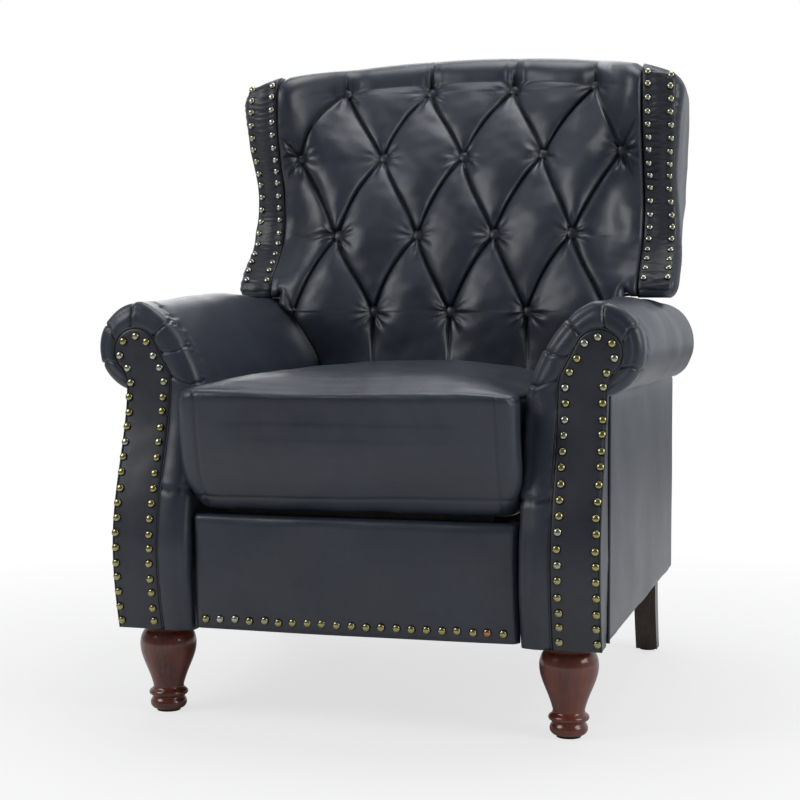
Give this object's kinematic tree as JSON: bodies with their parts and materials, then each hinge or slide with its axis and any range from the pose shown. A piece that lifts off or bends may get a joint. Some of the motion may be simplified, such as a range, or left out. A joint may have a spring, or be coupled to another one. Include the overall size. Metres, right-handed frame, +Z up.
{
  "type": "push-back recliner armchair",
  "caption": "Rolled-arm wingback recliner in dark leather with a tufted reclining back, sliding seat and a footrest that folds out on steel links.",
  "frame": {"origin": "on the floor under the middle of the chair's overall box", "axes": "+Z up, -Y towards the front, +X to the right of someone facing the chair"},
  "size_m": [0.7738, 0.898, 1.0386],
  "materials": {
    "leather": "semi-gloss bonded leather, fine grain",
    "piping": "leather-covered welt",
    "nails": "antiqued brass, domed",
    "timber": "planed, unfinished",
    "mahogany": "turned, mahogany stain, gloss lacquer",
    "dark_wood": "dark stain, satin",
    "glide": "moulded",
    "zinc_steel": "zinc plated",
    "spring_steel": "drawn wire",
    "link_steel": "dark powder coat",
    "nylon": "moulded nylon",
    "deck_fabric": "needled felt"
  },
  "bodies": {
    "base": {"arm_pad_right": "leather", "arm_pad_left": "leather", "outer_side_panels": "leather", "front_bands": "leather", "front_panel_right": "leather", "front_panel_left": "leather", "panel_piping": "piping", "arm_nails": "nails", "arm_front_posts": "timber", "arm_rear_posts": "timber", "arm_bottom_rails": "timber", "arm_mid_rails": "timber", "arm_top_rails": "timber", "corner_blocks": "timber", "cross_rail": "timber", "rear_apron": "leather", "front_legs": "mahogany", "rear_legs": "dark_wood", "leg_bolts": "zinc_steel", "leg_glides": "glide", "seat_channels": "link_steel", "pivot_plates": "link_steel", "back_pivot_pins": "zinc_steel", "base_screws": "zinc_steel"},
    "seat": {"seat_side_rails": "timber", "seat_end_rails": "timber", "seat_springs": "spring_steel", "spring_clips": "spring_steel", "seat_deck": "deck_fabric", "seat_cushion": "leather", "seat_plates": "link_steel", "plate_spacers": "timber", "seat_rollers": "nylon", "roller_axles": "zinc_steel", "seat_rivets": "zinc_steel"},
    "rear_link": {"rear_links": "link_steel"},
    "front_link": {"front_links": "link_steel", "front_link_rivets": "zinc_steel"},
    "lower_link": {"lower_links": "link_steel", "lower_link_rivets": "zinc_steel"},
    "upper_link": {"upper_links": "link_steel", "upper_link_rivets": "zinc_steel"},
    "footrest": {"footrest_board": "timber", "footrest_pad": "leather", "footrest_nails": "nails", "footrest_brackets": "link_steel"},
    "back": {"back_posts": "timber", "back_rails": "timber", "back_springs": "spring_steel", "wing_posts": "timber", "back_plates": "link_steel", "tufted_pad": "leather", "back_buttons": "leather", "wing_right": "leather", "wing_left": "leather", "wing_bands": "leather", "wing_nails": "nails", "back_cover": "leather"},
    "drag_link": {"drag_links": "link_steel", "drag_link_rivets": "zinc_steel"}
  },
  "joints": [
    {"name": "seat_slide", "type": "slide", "parent": "base", "child": "seat", "axis": [0, -1, 0], "range_m": [0, 0.0599]},
    {"name": "footrest_open", "type": "hinge", "parent": "seat", "child": "front_link", "pos_m": [0, -0.315, 0.264], "axis": [-1, 0, 0], "range_deg": [0, 143.04]},
    {"name": "rear_link_swing", "type": "hinge", "parent": "seat", "child": "rear_link", "pos_m": [0, -0.219, 0.232], "axis": [-1, 0, 0], "range_deg": [0, 141.8]},
    {"name": "lower_link_fold", "type": "hinge", "parent": "front_link", "child": "lower_link", "pos_m": [0, -0.196, 0.178], "axis": [-1, 0, 0], "range_deg": [-142.2, 0]},
    {"name": "upper_link_fold", "type": "hinge", "parent": "front_link", "child": "upper_link", "pos_m": [0, -0.16, 0.151], "axis": [-1, 0, 0], "range_deg": [-131.7, 0]},
    {"name": "footrest_tilt", "type": "hinge", "parent": "lower_link", "child": "footrest", "pos_m": [0, -0.354, 0.233], "axis": [-1, 0, 0], "range_deg": [0, 87.2]},
    {"name": "back_recline", "type": "hinge", "parent": "base", "child": "back", "pos_m": [0, 0.33, 0.34], "axis": [-1, 0, 0], "range_deg": [0, 30]},
    {"name": "drag_link_swing", "type": "hinge", "parent": "back", "child": "drag_link", "pos_m": [0, 0.3, 0.215], "axis": [-1, 0, 0], "range_deg": [-40.7, 0]}
  ],
  "couplings": [
    {"joint": "seat_slide", "follows": "back_recline", "m_per_rad": 0.11422},
    {"joint": "drag_link_swing", "follows": "back_recline", "ratio": -1.3542},
    {"joint": "rear_link_swing", "follows": "footrest_open", "ratio": 0.9911},
    {"joint": "lower_link_fold", "follows": "footrest_open", "ratio": -0.99383},
    {"joint": "upper_link_fold", "follows": "footrest_open", "ratio": -0.92},
    {"joint": "footrest_tilt", "follows": "footrest_open", "ratio": 0.60905}
  ]
}
